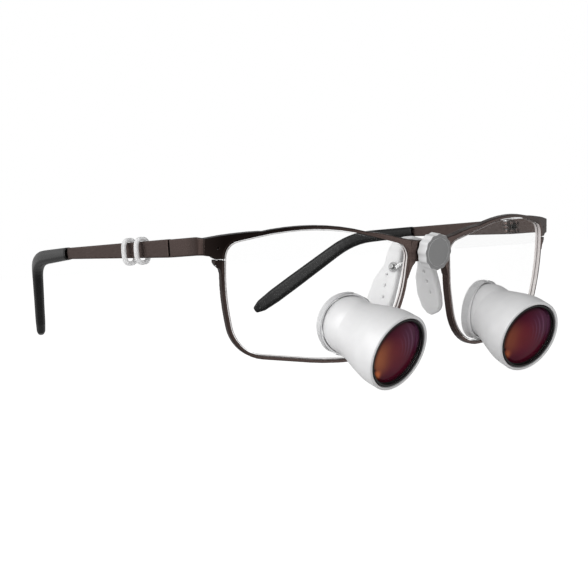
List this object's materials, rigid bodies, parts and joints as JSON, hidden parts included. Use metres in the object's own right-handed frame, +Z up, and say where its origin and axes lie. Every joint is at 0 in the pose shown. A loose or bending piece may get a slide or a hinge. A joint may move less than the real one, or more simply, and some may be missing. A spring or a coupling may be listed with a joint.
{
  "type": "dental loupes",
  "caption": "Through-the-lens magnifying loupes on a folding metal spectacle frame, with a light mount knob, silicone nose saddle and cable clips.",
  "frame": {"origin": "centre of the front face of the light mount knob on the bridge", "axes": "+X to the wearer's left, +Y back along the temples, +Z up"},
  "size_m": [0.1476, 0.1588, 0.0469],
  "materials": {
    "frame_metal": "brushed dark brown plating",
    "temple_metal": "brushed brown plating",
    "steel": "bright turned steel",
    "acetate": "polished black acetate",
    "lens": "clear, coated",
    "housing": "satin silver white",
    "black": "matt black",
    "coated_glass": "dark red anti-reflection coating",
    "silicone": "soft translucent white silicone",
    "knob_metal": "satin grey"
  },
  "bodies": {
    "frame": {"frame_front": "frame_metal", "carrier_lens_right": "lens", "rim_screw_right": "steel", "hinge_screw_right": "steel", "pad_arm_right": "steel", "pad_screw_right": "steel", "barrel_right": "housing", "socket_ring_right": "housing", "front_ring_right": "black", "seal_ring_right": "black", "baffle_tube_right": "black", "eyepiece_ring_right": "black", "objective_front_right": "coated_glass", "objective_rear_right": "coated_glass", "eyepiece_lens_right": "lens", "carrier_lens_left": "lens", "rim_screw_left": "steel", "hinge_screw_left": "steel", "pad_arm_left": "steel", "pad_screw_left": "steel", "barrel_left": "housing", "socket_ring_left": "housing", "front_ring_left": "black", "seal_ring_left": "black", "baffle_tube_left": "black", "eyepiece_ring_left": "black", "objective_front_left": "coated_glass", "objective_rear_left": "coated_glass", "eyepiece_lens_left": "lens", "nose_saddle": "silicone", "mount_stud": "steel", "clamp_washer": "steel"},
    "temple_right": {"temple_right": "temple_metal", "temple_tip_right": "acetate"},
    "temple_left": {"temple_left": "temple_metal", "temple_tip_left": "acetate"},
    "clip_front": {"cable_clip_front": "silicone"},
    "clip_rear": {"cable_clip_rear": "silicone"},
    "knob": {"thumb_knob": "knob_metal", "knob_cap": "knob_metal"}
  },
  "joints": [
    {"name": "temple_right_fold", "type": "hinge", "parent": "frame", "child": "temple_right", "pos_m": [-0.0674, 0.033, 0.00601], "axis": [0, 0, -1], "range_deg": [0, 84]},
    {"name": "temple_left_fold", "type": "hinge", "parent": "frame", "child": "temple_left", "pos_m": [0.0674, 0.033, 0.00601], "axis": [0, 0, 1], "range_deg": [0, 76]},
    {"name": "knob_turn", "type": "hinge", "parent": "frame", "child": "knob", "pos_m": [0, 0, 0], "axis": [0, -0.9826, -0.1857], "range_deg": [0, 720]},
    {"name": "clip_front_slide", "type": "slide", "parent": "temple_right", "child": "clip_front", "axis": [-0.0496, 0.9988, 0], "range_m": [-0.0045, 0.0015]},
    {"name": "clip_rear_slide", "type": "slide", "parent": "temple_right", "child": "clip_rear", "axis": [-0.0496, 0.9988, 0], "range_m": [-0.0015, 0.022]}
  ]
}
